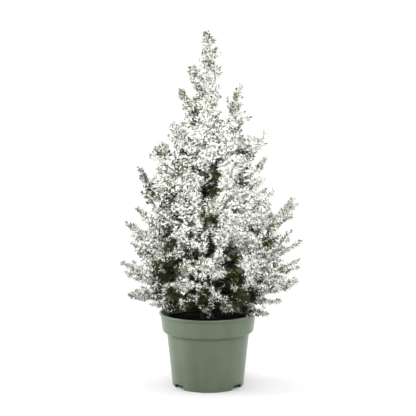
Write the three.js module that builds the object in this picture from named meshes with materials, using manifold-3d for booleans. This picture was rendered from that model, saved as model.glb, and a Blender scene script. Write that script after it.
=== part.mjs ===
// A dwarf white spruce in a plastic nursery pot, with spray snow on its needles.
// Millimetres, +Z up, the front towards -Y. The origin is on the ground, at the middle of the pot's underside.
// The pot, the soil, the trunk, the main boughs and the masses of foliage are separate solids.
// Each mass of foliage is a plume: it follows its own curved axis out to its tip, and gives way to its neighbours.
import * as THREE from "three";
import { mergeVertices } from "three/addons/utils/BufferGeometryUtils.js";
import Module from "manifold-3d";

const wasm = await Module();
wasm.setup();

const GAP = 0.3; // left between two pieces that touch
const FLAT = 0.2; // facets that bend less than this become one
const UP = new THREE.Vector3(0, 0, 1);

// ---- driving dimensions ----

const POT = {
  height: 143,
  segments: 32,
  discRadius: 28, // the flat disc in the middle of the underside
  underside: 8.4, // height of the raised ring between the disc and the foot
  floorTop: 10.4,
  footInner: 62,
  footRadius: 69,
  stepHeight: 105.5, // where the wall meets the band
  stepRadius: 80.3,
  bandFoot: 109.8,
  bandFootRadius: 88.8,
  bandTopRadius: 92.6,
  rimRadius: 95,
  rimDepth: 4.2,
  wall: 2,
  notchBearings: [216, 324, 36, 144], // degrees, 0 along +X and 90 along +Y
  notchWidth: 27,
  notchHeight: 8,
  drainRadius: 4.5,
  drainAt: 51,
};

const SOIL = {
  seat: 129, // the flat spot that the trunk stands on
  seatRadius: 15,
  edge: 126.5, // height of the soil against the wall
  clearance: 0.4, // between the soil and the pot
  lump: 1.3,
};

const TRUNK = {
  radius: 8.2, // above the flare
  flare: 5, // how much wider the foot is
  flareHeight: 26,
  top: 655,
  topRadius: 1.3,
  bow: 4, // the trunk bends this far towards -X at mid height
  sides: 10,
  steps: 12,
};

const BOUGH = { radius: 3.4, endRadius: 2.3, sides: 6, steps: 4, share: 0.42 };
const PLUME = { sides: 8, steps: 6, tipRadius: 7.5, tipShare: 0.07, startRadius: 4, margin: 2.6, step: 1.5 };
const LEADER = { foot: 456, tip: 678, girth: 30, tipRadius: 11 };
const BOUGHED_BELOW = 160; // a plume whose foot is lower than this hangs on a bough of its own

// The plumes of each tier, from the soil up: [bearing in degrees, foot height on the trunk,
// reach of the tip from the trunk, height of the tip, slope of the tip in degrees, girth as a radius].
const TIERS = {
  skirt: [
    [180, 152, 153, 176, 3, 26],
    [207, 148, 113, 153, -14, 22],
    [228, 156, 120, 205, 22, 32],
    [264, 153, 112, 198, 18, 32],
    [306, 153, 126, 193, 10, 32],
    [337, 149, 122, 147, -16, 22],
    [6, 148, 146, 170, 8, 22],
    [350, 158, 172, 208, 20, 30],
    [64, 154, 154, 188, 12, 36],
    [118, 155, 157, 186, 12, 36],
  ],
  lower: [
    [182, 168, 165, 238, 28, 36],
    [243, 176, 128, 246, 36, 38],
    [274, 182, 124, 266, 42, 36],
    [306, 180, 134, 262, 40, 42],
    [5, 170, 178, 242, 24, 30],
    [36, 178, 160, 252, 34, 44],
    [90, 172, 164, 236, 30, 46],
    [146, 176, 160, 250, 34, 44],
  ],
  middle: [
    [176, 205, 160, 318, 54, 38],
    [190, 235, 138, 346, 46, 34],
    [216, 210, 134, 300, 46, 42],
    [250, 226, 116, 336, 56, 40],
    [296, 226, 120, 340, 56, 44],
    [334, 215, 148, 300, 42, 42],
    [356, 205, 178, 281, 36, 34],
    [3, 226, 166, 363, 50, 36],
    [66, 222, 142, 336, 50, 50],
    [116, 222, 144, 328, 50, 50],
  ],
  upper: [
    [182, 282, 133, 423, 62, 36],
    [194, 326, 100, 424, 68, 32],
    [236, 304, 98, 426, 62, 40],
    [276, 278, 92, 374, 60, 30],
    [304, 312, 94, 440, 64, 40],
    [352, 268, 124, 379, 60, 44],
    [0, 326, 110, 440, 60, 40],
    [58, 310, 113, 424, 58, 48],
    [122, 312, 113, 428, 58, 48],
  ],
  crown: [
    [178, 368, 103, 461, 46, 38],
    [190, 408, 70, 505, 72, 34],
    [184, 478, 51, 570, 68, 28],
    [178, 546, 35, 611, 74, 18],
    [252, 424, 52, 520, 76, 32],
    [6, 388, 112, 490, 44, 32],
    [0, 434, 64, 578, 78, 34],
    [320, 410, 66, 500, 74, 32],
    [88, 400, 64, 520, 72, 42],
  ],
};

// ---- solids ----

// A closed geometry as a solid: only its positions count, and its faces have to point out.
function solidOf(geometry) {
  const bare = geometry.index ? geometry.toNonIndexed() : geometry.clone();
  bare.deleteAttribute("normal");
  bare.deleteAttribute("uv");
  const merged = mergeVertices(bare, 1e-3);
  return new wasm.Manifold(
    new wasm.Mesh({
      numProp: 3,
      vertProperties: merged.attributes.position.array,
      triVerts: new Uint32Array(merged.index.array),
    }),
  );
}

// The largest piece of a solid: a cut can leave a crumb on the far side of what cut it.
function largest(solid) {
  return solid.decompose().reduce((a, b) => (b.volume() > a.volume() ? b : a));
}

function meshOf(name, solid, material) {
  const data = solid.getMesh();
  const positions = new Float32Array(data.numVert * 3);
  for (let i = 0; i < data.numVert; i++) {
    positions.set(data.vertProperties.subarray(i * data.numProp, i * data.numProp + 3), i * 3);
  }
  const indexed = new THREE.BufferGeometry();
  indexed.setAttribute("position", new THREE.BufferAttribute(positions, 3));
  indexed.setIndex(new THREE.BufferAttribute(data.triVerts, 1));
  const geometry = indexed.toNonIndexed();
  geometry.computeVertexNormals();
  const mesh = new THREE.Mesh(geometry, material);
  mesh.name = name;
  return mesh;
}

// A profile of [radius, height] pairs turned about the Z axis.
function turned(profile, segments) {
  const points = profile.map(([radius, height]) => new THREE.Vector2(radius, height));
  return new THREE.LatheGeometry(points, segments).rotateX(Math.PI / 2);
}

function atBearing(bearing, radius, height) {
  const angle = THREE.MathUtils.degToRad(bearing);
  return new THREE.Vector3(radius * Math.cos(angle), radius * Math.sin(angle), height);
}

// ---- pot ----

function innerRadius(height) {
  const { wall, floorTop, footRadius, stepHeight, stepRadius, bandFoot } = POT;
  const bandWall = wall - 0.2;
  if (height < stepHeight) {
    const share = (height - floorTop) / (stepHeight - floorTop);
    return THREE.MathUtils.lerp(footRadius - wall + 0.6, stepRadius - wall, share);
  }
  const share = THREE.MathUtils.clamp((height - bandFoot) / (POT.height - bandFoot), 0, 1);
  return THREE.MathUtils.lerp(POT.bandFootRadius, POT.bandTopRadius, share) - bandWall;
}

function potProfile() {
  const p = POT;
  const rimFoot = p.height - p.rimDepth;
  const outside = [
    [0, 0],
    [p.discRadius, 0],
    [p.discRadius + 4, p.underside],
    [p.footInner - 3, p.underside],
    [p.footInner, 0],
    [p.footRadius - 1, 0],
    [p.footRadius, 1.5],
    [p.stepRadius, p.stepHeight],
    [p.bandFootRadius - 2.6, p.stepHeight + 1.4],
    [p.bandFootRadius, p.bandFoot],
    [p.bandTopRadius, rimFoot],
    [p.rimRadius - 0.4, rimFoot + 0.8],
    [p.rimRadius, p.height - 1.6],
    [p.rimRadius - 1.2, p.height],
  ];
  const inside = [
    [innerRadius(p.height), p.height],
    [innerRadius(p.bandFoot), p.bandFoot],
    [innerRadius(p.bandFoot) - 2.6, p.stepHeight + 2.6],
    [innerRadius(p.stepHeight - 0.01), p.stepHeight + 1.6],
    [innerRadius(p.floorTop + 3), p.floorTop + 3],
    [innerRadius(p.floorTop) - 4, p.floorTop],
    [0, p.floorTop],
  ];
  return [...outside, ...inside];
}

// A notch through the foot, which drains the raised ring behind it.
function notch(bearing) {
  const depth = POT.footRadius - POT.footInner + 12;
  const box = new THREE.BoxGeometry(depth, POT.notchWidth, POT.notchHeight * 2);
  box.translate(POT.footRadius - 3, 0, 0);
  return solidOf(box.rotateZ(THREE.MathUtils.degToRad(bearing)));
}

function drainHole(bearing) {
  const bore = new THREE.CylinderGeometry(POT.drainRadius, POT.drainRadius, 12, 12);
  bore.rotateX(Math.PI / 2);
  const place = atBearing(bearing, POT.drainAt, POT.floorTop - 1);
  return solidOf(bore.translate(place.x, place.y, place.z));
}

function pot() {
  let solid = solidOf(turned(potProfile(), POT.segments));
  for (const bearing of POT.notchBearings) {
    solid = solid.subtract(notch(bearing)).subtract(drainHole(bearing));
  }
  return solid;
}

// ---- soil ----

function soil() {
  const inside = height => innerRadius(height) - SOIL.clearance;
  const bottom = POT.floorTop + GAP;
  const profile = [
    [0, bottom],
    [inside(POT.floorTop) - 4.6, bottom],
    [inside(POT.floorTop + 3) - 0.2, POT.floorTop + 3.6],
    [inside(POT.stepHeight - 1), POT.stepHeight + 2.2],
    [inside(POT.bandFoot) - 2.8, POT.stepHeight + 3.2],
    [inside(POT.bandFoot), POT.bandFoot + 0.6],
    [inside(SOIL.edge - 2), SOIL.edge],
    [66, SOIL.edge + 1.2],
    [40, SOIL.edge + 1.6],
    [SOIL.seatRadius, SOIL.seat],
    [0, SOIL.seat],
  ];
  const geometry = turned(profile, POT.segments);
  const place = geometry.attributes.position;
  for (let i = 0; i < place.count; i++) {
    const [x, y, z] = [place.getX(i), place.getY(i), place.getZ(i)];
    const radius = Math.hypot(x, y);
    if (z > SOIL.edge + 0.5 && radius > SOIL.seatRadius + 1) {
      place.setZ(i, z + SOIL.lump * Math.sin(x * 0.21 + y * 0.13) * Math.cos(y * 0.19 - x * 0.07));
    }
  }
  return solidOf(geometry);
}

// The upper pot and the soil as one solid with a gap round it, for the lowest foliage to keep clear of.
function potSleeve() {
  const profile = [
    [0, POT.stepHeight],
    [POT.bandFootRadius + 2 * GAP, POT.stepHeight],
    [POT.bandTopRadius + 2 * GAP, POT.height - POT.rimDepth - GAP],
    [POT.rimRadius + 2 * GAP, POT.height - POT.rimDepth],
    [POT.rimRadius + 2 * GAP, POT.height + 2 * GAP],
    [innerRadius(POT.height) - 2 * GAP, POT.height + 2 * GAP],
    [innerRadius(SOIL.edge) - 2 * GAP, SOIL.edge + 2 * SOIL.lump],
    [0, SOIL.seat + SOIL.lump],
  ];
  return solidOf(turned(profile, POT.segments));
}

// ---- trunk and boughs ----

// The middle of the trunk at a height: it bows a little to one side, and comes back to the axis at its top.
function trunkCentre(height) {
  const share = (height - SOIL.seat) / (LEADER.tip - SOIL.seat);
  return new THREE.Vector3(-TRUNK.bow * Math.sin(Math.PI * share), 0, height);
}

function trunkRadius(height) {
  const share = THREE.MathUtils.clamp((height - SOIL.seat) / (TRUNK.top - SOIL.seat), 0, 1);
  const taper = THREE.MathUtils.lerp(TRUNK.radius, TRUNK.topRadius, share ** 0.85);
  return taper + TRUNK.flare * Math.exp((-3 * (height - SOIL.seat)) / TRUNK.flareHeight);
}

// A closed solid that follows an axis. axis.centre(t) is its middle, axis.side a vector across it,
// radius(t, angle) its size; with a tip, its far end runs out to a point at t = 1.
function along(axis, { from, to, radius, sides, steps, tip = false }) {
  const geometry = new THREE.CylinderGeometry(1, 1, 1, sides, steps);
  const place = geometry.attributes.position;
  for (let i = 0; i < place.count; i++) {
    const [x, y, z] = [place.getX(i), place.getY(i), place.getZ(i)];
    const onAxis = Math.hypot(x, z) < 0.5;
    const t = onAxis && y > 0 && tip ? 1 : THREE.MathUtils.lerp(from, to, y + 0.5);
    const { centre, across, over } = frameAt(axis, t);
    const angle = Math.atan2(z, x);
    const size = onAxis ? 0 : radius(t, angle);
    centre.addScaledVector(over, size * Math.cos(angle)).addScaledVector(across, size * Math.sin(angle));
    place.setXYZ(i, centre.x, centre.y, centre.z);
  }
  return solidOf(geometry);
}

// The middle of an axis at t, with two unit vectors square to it and to each other.
function frameAt(axis, t) {
  const centre = axis.centre(t);
  const tangent = axis.centre(Math.min(t + 0.01, 1)).sub(axis.centre(Math.max(t - 0.01, 0))).normalize();
  const over = new THREE.Vector3().crossVectors(tangent, axis.side).normalize();
  const across = new THREE.Vector3().crossVectors(over, tangent).normalize();
  return { centre, tangent, across, over };
}

const trunkAxis = {
  centre: t => trunkCentre(THREE.MathUtils.lerp(SOIL.seat + GAP, TRUNK.top, t)),
  side: new THREE.Vector3(0, 1, 0),
};

function trunk(extra) {
  const heightAt = t => THREE.MathUtils.lerp(SOIL.seat + GAP, TRUNK.top, t);
  return along(trunkAxis, {
    from: 0,
    to: 1,
    radius: t => trunkRadius(heightAt(t)) + extra,
    sides: TRUNK.sides,
    steps: TRUNK.steps,
  });
}

function bough(plume, extra) {
  const end = plume.start - GAP / plume.curve.getLength();
  return along(plume, {
    from: 0,
    to: end,
    radius: t => THREE.MathUtils.lerp(BOUGH.radius, BOUGH.endRadius, t / end) + extra,
    sides: BOUGH.sides,
    steps: BOUGH.steps,
  });
}

// ---- plumes of foliage ----

// The axis of a plume rises from the trunk, bends, and leaves through its tip at the slope given.
function plumeOf(tier, index, [bearing, foot, reach, top, slope, girth]) {
  const root = trunkCentre(foot);
  const tip = atBearing(bearing, reach, top);
  const rise = THREE.MathUtils.degToRad(slope);
  const lastStretch = 0.45 * Math.hypot(reach, top - foot);
  const elbow = atBearing(
    bearing,
    Math.max(reach - lastStretch * Math.cos(rise), 0.25 * reach),
    top - lastStretch * Math.sin(rise),
  );
  const curve = new THREE.QuadraticBezierCurve3(root, elbow, tip);
  return {
    name: `${tier}_${index + 1}`,
    curve,
    centre: t => curve.getPoint(t),
    side: atBearing(bearing + 90, 1, 0),
    girth,
    tipRadius: PLUME.tipRadius,
    start: foot < BOUGHED_BELOW ? BOUGH.share : 0,
    seed: (bearing * 7 + top) % 17,
  };
}

const leaderPlume = {
  name: "leader",
  centre: t => trunkCentre(THREE.MathUtils.lerp(LEADER.foot, LEADER.tip, t)),
  side: new THREE.Vector3(0, 1, 0),
  girth: LEADER.girth,
  tipRadius: LEADER.tipRadius,
  start: 0,
  seed: 5,
};

// The girth swells quickly from the start of a plume and runs out slowly to a slender tip.
function fullRadius(plume, t) {
  const share = THREE.MathUtils.clamp((t - plume.start) / (1 - plume.start), 0, 1);
  const swell = 2.1 * (share + 0.12) ** 0.55 * (1 - share) ** 0.95;
  return Math.max(plume.girth * swell, plume.tipRadius);
}

// The same with lumps, so that no two plumes are alike.
function lumpyRadius(plume, t, angle) {
  const { seed } = plume;
  const lumps = 0.13 * Math.sin(3 * angle + 9 * t + seed) + 0.1 * Math.sin(5 * angle - 14 * t + 2 * seed);
  return fullRadius(plume, t) * (0.95 + lumps);
}

// Sample points along each plume, with the radius it claims there.
function territoryOf(plume) {
  const spots = [];
  for (let k = 0; k <= 26; k++) {
    const t = k / 26;
    const claimed = t < plume.start ? BOUGH.radius + 1 : fullRadius(plume, t);
    spots.push({ centre: plume.centre(t), radius: claimed });
  }
  return { plume, spots };
}

function inPotOrSoil(point) {
  const radius = Math.hypot(point.x, point.y);
  if (point.z > POT.height + 1.5 || radius > POT.rimRadius + 1.5) return false;
  return radius > innerRadius(POT.bandFoot) || point.z < SOIL.seat + 3;
}

// How far a plume may spread from its axis in one direction: up to its lumpy radius,
// but not into the pot, the soil or the ground that a neighbour claims more strongly.
function spread(plume, territories, t, angle) {
  const { centre, across, over } = frameAt(plume, t);
  const direction = over.clone().multiplyScalar(Math.cos(angle)).addScaledVector(across, Math.sin(angle));
  const nominal = fullRadius(plume, t);
  const wanted = t === plume.start && !plume.start ? PLUME.startRadius : lumpyRadius(plume, t, angle);
  const point = new THREE.Vector3();
  let reached = PLUME.step;
  while (reached < wanted) {
    const next = Math.min(reached + PLUME.step, wanted);
    point.copy(centre).addScaledVector(direction, next);
    const own = next - nominal;
    const taken = territories.some(
      ({ plume: other, spots }) =>
        other !== plume &&
        spots.some(spot => point.distanceTo(spot.centre) - spot.radius < own + PLUME.margin),
    );
    if (taken || inPotOrSoil(point)) break;
    reached = next;
  }
  return reached;
}

function mass(plume, territories, extra) {
  return along(plume, {
    from: plume.start,
    to: 1 - PLUME.tipShare,
    radius: (t, angle) => spread(plume, territories, t, angle) + extra,
    sides: PLUME.sides,
    steps: PLUME.steps,
    tip: true,
  });
}

// ---- assembly ----

const materials = {
  pot: new THREE.MeshStandardMaterial({ color: "#7c8a71", roughness: 0.48, metalness: 0 }),
  soil: new THREE.MeshStandardMaterial({ color: "#2b201a", roughness: 0.95, metalness: 0 }),
  bark: new THREE.MeshStandardMaterial({ color: "#6b5140", roughness: 0.9, metalness: 0 }),
  foliage: new THREE.MeshStandardMaterial({ color: "#c9cdc2", roughness: 0.85, metalness: 0 }),
};

const plumes = Object.entries(TIERS).flatMap(([tier, rows]) => rows.map((row, i) => plumeOf(tier, i, row)));
plumes.push(leaderPlume);

const territories = plumes.map(territoryOf);
const root = new THREE.Group();
root.add(meshOf("pot", pot(), materials.pot));
root.add(meshOf("soil", soil(), materials.soil));

// Each further piece is cut back to leave a gap round those before it that it would run into.
const placed = [];
function place(name, material, build) {
  let solid = build(0);
  for (const other of placed) {
    if (solid.intersect(other.solid).volume() > 0) solid = solid.subtract(other.build(GAP));
  }
  solid = largest(solid).simplify(FLAT);
  placed.push({ solid, build });
  root.add(meshOf(name, solid, material));
}

place("trunk", materials.bark, trunk);
for (const plume of plumes.filter(p => p.start > 0)) {
  place(`bough_${plume.name}`, materials.bark, extra => bough(plume, extra));
}
placed.push({ solid: potSleeve(), build: potSleeve });
for (const plume of plumes) {
  place(`foliage_${plume.name}`, materials.foliage, extra => mass(plume, territories, extra));
}

export default root;
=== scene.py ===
import math

import bpy
import numpy as np
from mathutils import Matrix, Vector
from mathutils.bvhtree import BVHTree


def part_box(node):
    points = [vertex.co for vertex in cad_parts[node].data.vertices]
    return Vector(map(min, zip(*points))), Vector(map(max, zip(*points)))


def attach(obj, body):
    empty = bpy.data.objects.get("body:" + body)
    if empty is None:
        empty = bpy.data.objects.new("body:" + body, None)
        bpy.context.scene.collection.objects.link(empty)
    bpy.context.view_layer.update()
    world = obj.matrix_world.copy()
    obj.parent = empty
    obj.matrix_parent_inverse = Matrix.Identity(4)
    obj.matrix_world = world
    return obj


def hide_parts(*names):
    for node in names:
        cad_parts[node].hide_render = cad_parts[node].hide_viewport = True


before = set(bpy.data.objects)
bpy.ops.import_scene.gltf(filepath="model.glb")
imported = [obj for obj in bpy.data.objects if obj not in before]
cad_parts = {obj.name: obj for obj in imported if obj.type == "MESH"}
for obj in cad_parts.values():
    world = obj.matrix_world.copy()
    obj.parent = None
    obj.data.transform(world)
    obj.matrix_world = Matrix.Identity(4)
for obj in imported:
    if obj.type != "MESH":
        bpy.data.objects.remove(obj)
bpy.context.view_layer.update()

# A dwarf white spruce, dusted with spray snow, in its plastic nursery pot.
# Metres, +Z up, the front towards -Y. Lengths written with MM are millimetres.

MM = 0.001
GOLDEN_ANGLE = math.radians(137.508)
UP = np.array([0.0, 0.0, 1.0])
rng = np.random.default_rng(20)

# ---- driving sizes ----
# A pair of pairs is a ramp: it runs from the first of the second pair to its second while the measure named
# runs from the first to the second of the first pair.

NEEDLE = {
    "length": 9.8 * MM, "lengths": (0.75, 1.1), "tip_less": 0.15, "belly": 0.5,
    "per_mm": (3.8, 2.4, 1.9, 1.65), "fewest": 6,  # along a shoot, by its order
    "tuft": 6, "tuft_splay": (4, 50),  # the last needles of a shoot, in degrees from its line
    "splay": (68, 48), "splay_spread": 8, "tip": 6 * MM,  # the others: before the tip, and at its very end
    "width": {"snow": 1.8 * MM, "tipped": 1.8 * MM, "thin": 1.7 * MM, "green": 1.7 * MM, "fresh": 1.7 * MM},
    "widths": (0.8, 1.2),
    "bare": {"stem": 0.3, "inner stem": 0.6},  # the share of a stem without needles, from its foot
}
GROWTH = {  # side shoots, by the order of the shoot that carries them
    "step": (4.4 * MM, 6.5 * MM, 9 * MM), "last": (0.74, 0.6, 0.6), "most": (0.75, 0.6, 0.6),
    "share": ((0.8, 1.2), (0.5, 0.95), (0.45, 0.85)),  # of the room there is
    "leader_step": 3.4 * MM, "leader_last": 0.96, "least": 9 * MM, "extra": 12 * MM, "farthest": 75 * MM,
    "lean": 50, "lean_spread": 10, "lean_less": 14, "turn_spread": 0.25, "lift": 0.15, "rise": (0.02, 0.22),
}
# How far shoots pass their mass's surface, in the open and among others.
MARGIN = {"open": -1 * MM, "inside": 10 * MM}
# The twigs next to the trunk, and those in the grooves between masses. A span is a height from, to, step.
CORE = {"span": (0.175, 0.64, 4 * MM), "length": 44 * MM, "lengths": (0.6, 1.2), "lift": (20, 50),
        "by_height": ((0.2, 0.62), (1.2, 0.4))}
FILLER = {"turn": 6, "span": (0.165, 0.6, 0.012), "outside": 0.25, "groove": 0.86, "chance": 0.4,
          "out": (0.74, 0.9), "drop": (0.35, 0.6)}
# The sprigs behind: degrees round the plant, and millimetres out and up.
SPRIG = {"bearings": (-20, 200), "out": (58, 116), "height": (152, 185)}
ROOM_OVER_SOIL = {"shoot": 12 * MM, "filler": 25 * MM}  # tips that end lower than this are left out
FREE_REACH = {"core": 26 * MM, "filler": 24 * MM, "sprig": 13 * MM}  # how far side shoots of free twigs go
CONE = {"tip": 7 * MM, "slope": 0.4, "most": 26 * MM}  # the side shoots of a finger or a tuft
SIGHTS = ((0, 0), (14, 0), (-14, 0), (0, 14), (0, -14))  # sight lines to a tuft: millimetres beside its place
VOXEL = 4 * MM
SPRAY = {"reach": 110 * MM, "step": 6 * MM, "start": 3 * MM,
         "rings": ((-20, 0.05, 8), (8, 0.6, 10), (35, 1.0, 8), (65, 1.2, 5))}  # degrees up, weight, count
SNOW = {
    "heights": (0.2, 0.4, 0.52),
    "none": (0.08, 0.02, -0.06), "full": (0.15, 0.12, 0.05),  # exposures, at those heights
    "own": 0.55, "shoot": 0.45, "spread": 0.025, "upward": 0.03,
    # right, right_more: painted light, more snow so the right side looks lit whiter
    "right": (-0.02, 0.06), "right_more": 0.03, "outer": (0.08, 0.12), "outer_more": 0.05,
    "most": ((0.25, 0.6), (0.9, 0.84)),  # by exposure
    "facing": ((-0.6, 0.1), (0.3, 1.0)),  # by how far a needle points away from the trunk
    # left: painted shade, less snow on the left side
    "left": ((-0.06, 0.03), (0.9, 1.0)),  # by X
    # low, low_middle: painted shade, less snow low down near the middle, under the crown
    "low": ((0.16, 0.2), (1, 0)), "low_middle": ((0.07, 0.1), (1, 0.1)),  # by height, by X on both sides
    "low_less": (0.85, 0.5),  # on the masses and round the trunk, and on the other twigs
    # green, grey: bare or half-bare needles in the ovals, partly real bare green and partly painted shade
    "green": ((-0.15, 0.35), (0, 0.93)), "grey": ((-0.2, 0.4), (0, 0.5)),  # by depth within the ovals
    "forward": -30 * MM, "back": 0.7,  # free twigs farther forward stay white; where the ovals end, Y over X
    "finger": ((0.09, 0.13), (1, 0.85)),  # by X on both sides
    "missed": ((0.33, 0.5), (0, 0.75)), "missed_size": 15 * MM,  # patches, by noise of that size
    "missed_from": ((0.52, 0.58), (0, 1)),  # by height: only near the top
    "whole": ((0.2, 0.38), (0.5, 0.6)), "white": 0.94,  # the share white to the foot, by height; white at all
    # thin, thin_top: the most exposed needles grey, partly thinner snow and partly painted shade on the
    # brightest
    "thin": ((0.28, 0.55), (0.05, 0.75)), "thin_top": ((0.38, 0.5), (1, 0.75)),  # by exposure, by height
    "fresh": ((0.5, 0.62), (0.05, 0.3)), "hidden": 0.02, "twigs": 0.12,
}

EYE = np.array([0.0, -2.0, 0.54])  # the camera
# Ovals on the upright plane through the trunk, as seen from the camera, by their middle and half size along
# X and Z in millimetres: where boughs part and the dark inside shows, its needles left bare and near black as
# painted shade; where the front stays green, partly bare green needles and partly painted shade; where the
# coating is cut to half so it reads grey, partly thin snow and partly painted shade on it; and where there is
# open sky between the boughs.
HOLLOWS = ((15, 409, 13, 25), (5, 377, 21, 16), (8, 323, 18, 10), (-12, 332, 9, 8), (-85, 294, 18, 12),
           (-70, 277, 8, 10), (0, 262, 11, 18), (45, 252, 14, 20), (-84, 212, 22, 17), (-62, 229, 10, 12),
           (-31, 208, 10, 8), (30, 198, 26, 9), (57, 177, 27, 14), (-68, 182, 13, 18), (52, 218, 14, 14),
           (-44, 256, 10, 15), (-34, 290, 9, 12), (-48, 450, 8, 8))
GREENS = ((118, 276, 14, 18), (-80, 221, 31, 31), (-8, 171, 12, 15), (42, 156, 18, 12), (-72, 270, 18, 14),
          (46, 240, 18, 34), (52, 199, 21, 34), (-68, 176, 20, 12), (70, 160, 32, 18))
GREYS = ((-24, 526, 9, 9), (-50, 450, 12, 12), (-88, 450, 14, 12), (-54, 416, 17, 16), (-32, 412, 8, 12),
         (72, 448, 24, 11), (62, 488, 12, 14), (-70, 470, 12, 10), (66, 392, 16, 14), (-66, 376, 12, 20),
         (-112, 365, 10, 34), (-84, 340, 26, 9), (-34, 320, 12, 12), (100, 430, 10, 16), (20, 440, 12, 12),
         (-5, 358, 12, 8), (28, 246, 12, 16), (20, 232, 14, 8), (-22, 506, 12, 12), (-120, 410, 8, 16))
SKY = ((-30, 576, 13, 22), (-20, 607, 5, 9), (-24, 642, 14, 26), (-13, 677, 8, 8), (31, 541, 11, 32),
       (81, 542, 10, 20), (38, 575, 8, 20), (57, 594, 16, 12), (86, 496, 17, 12), (134, 341, 14, 18),
       (-104, 156, 24, 12), (108, 162, 22, 9), (-60, 520, 8, 10), (160, 265, 12, 8), (126, 174, 30, 9),
       (-128, 157, 20, 5))
# Tufts that close the grooves between the masses at the front: where the camera sees the tip of each.
TUFTS = ((-12, 424), (-14, 442), (58, 350), (30, 360), (72, 342), (-62, 314), (-54, 330), (-24, 346),
         (66, 290), (96, 228), (118, 230), (30, 217), (84, 200), (20, 500), (14, 520), (34, 280), (50, 300),
         (-20, 362), (36, 372), (-34, 194), (-18, 190), (-44, 224), (112, 316), (-30, 424), (-22, 430),
         (-5, 428), (-38, 420), (22, 488), (24, 512), (28, 500), (126, 226), (133, 232), (108, 238),
         (-20, 410), (76, 297), (82, 290), (72, 303), (124, 220), (131, 216), (116, 222), (110, 212),
         (100, 216), (84, 214), (18, 480), (16, 494), (30, 490), (-62, 302), (-58, 294), (86, 194), (96, 192))
# Outer fingers that stand apart: the tip of each, in millimetres.
FINGERS = ((163, 5, 359), (111, 0, 486), (78, 5, 516), (108, 0, 438), (106, 10, 398), (172, -5, 230),
           (-102, 0, 458), (-92, -10, 470), (-119, 0, 400), (-141, 5, 309), (-137, 0, 262), (-156, 0, 220),
           (17, 0, 612), (138, 10, 161), (-150, 0, 173), (-108, -5, 157), (-152, 5, 212), (-70, -20, 500),
           (-47, -25, 505), (158, 0, 299), (-124, 0, 372), (-108, 0, 444), (12, 0, 662), (20, 0, 636),
           (22, 0, 600), (56, 0, 570), (62, -5, 545), (68, -10, 516), (58, -10, 500), (-96, 0, 446),
           (-86, 5, 466), (-145, 5, 275), (-132, 0, 255), (-127, 5, 400), (150, -5, 290), (157, 0, 342),
           (151, 5, 326), (168, 0, 350), (160, 0, 330), (147, 0, 338), (104, 0, 478), (108, 5, 468),
           (97, 0, 466))
# Low sprigs over the soil and the rim: the tip of each, in millimetres.
SPRIGS = ((1, -62, 149), (-24, -75, 179), (-49, -75, 175), (51, -75, 201), (-82, -70, 199), (-45, -80, 196),
          (-64, -50, 157), (-82, -30, 159), (84, -52, 163))
# Shoots that belong to no mass: round the trunk, between the masses and over the rim, and the fingers with
# the tufts.
CORE_SHOOT, BETWEEN, FINGER = -1, -2, -3


# ---- vectors and noise ----

def unit(v):
    """Each row of v at length 1."""
    return v / np.maximum(np.linalg.norm(v, axis=-1, keepdims=True), 1e-12)


def square_to(direction, hint=UP):
    """Two unit vectors square to each direction: across is direction x hint, over is across x direction."""
    across = np.cross(direction, hint)
    flat = np.linalg.norm(across, axis=-1, keepdims=True) < 1e-3
    across = unit(np.where(flat, np.cross(direction, [1.0, 0.0, 0.0]), across))
    return across, np.cross(across, direction)


def bezier(p0, p1, p2, t):
    """Points of quadratic curves: (1-t)^2 p0 + 2t(1-t) p1 + t^2 p2."""
    t = t[..., None]
    return (1 - t) ** 2 * p0 + 2 * t * (1 - t) * p1 + t**2 * p2


def bezier_heading(p0, p1, p2, t):
    """Unit tangents of the same curves: (1-t)(p1-p0) + t(p2-p1), at length 1."""
    t = t[..., None]
    return unit((1 - t) * (p1 - p0) + t * (p2 - p1))


def value_noise(points, size, seed):
    """Smooth noise from -1 to 1: random values at the corners of cubes of that size, blended with 3t^2 -
    2t^3."""
    cell = np.floor(points / size).astype(np.int64)
    inside = points / size - cell
    blend = inside * inside * (3 - 2 * inside)
    total = np.zeros(len(points))
    for corner in range(8):
        step = np.array([corner & 1, corner >> 1 & 1, corner >> 2 & 1])
        key = (cell + step) @ np.array([73856093, 19349663, 83492791]) + seed * 2654435761
        key = (key ^ key >> 13) * 1274126177 & 0x7FFFFFFF
        share = np.prod(np.where(step, blend, 1 - blend), axis=1)
        total += share * ((key ^ key >> 11) % 65536 / 32768.0 - 1)
    return total


# ---- meshes ----

def add_mesh(name, corners, faces, materials, face_materials=None, smooth=False):
    """A mesh object from an array of corners and one of faces that all have the same number of sides."""
    faces = np.asarray(faces, dtype=np.int32)
    mesh = bpy.data.meshes.new(name)
    mesh.vertices.add(len(corners))
    mesh.vertices.foreach_set("co", np.asarray(corners, dtype=np.float32).ravel())
    mesh.loops.add(faces.size)
    mesh.loops.foreach_set("vertex_index", faces.ravel())
    mesh.polygons.add(len(faces))
    sides = faces.shape[1]
    mesh.polygons.foreach_set("loop_start", np.arange(0, faces.size, sides, dtype=np.int32))
    mesh.polygons.foreach_set("loop_total", np.full(len(faces), sides, dtype=np.int32))
    mesh.polygons.foreach_set("use_smooth", np.full(len(faces), smooth))
    for material in materials:
        mesh.materials.append(material)
    if face_materials is not None:
        mesh.polygons.foreach_set("material_index", face_materials.astype(np.int32))
    mesh.update(calc_edges=True)
    mesh.validate()
    piece = bpy.data.objects.new(name, mesh)
    bpy.context.scene.collection.objects.link(piece)
    return piece


def keep(piece, slot, *nodes):
    """The piece rides with the plant and stands for the nodes. The slot is not used."""
    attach(piece, "root")
    if nodes:
        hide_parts(*nodes)
    return piece


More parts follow.
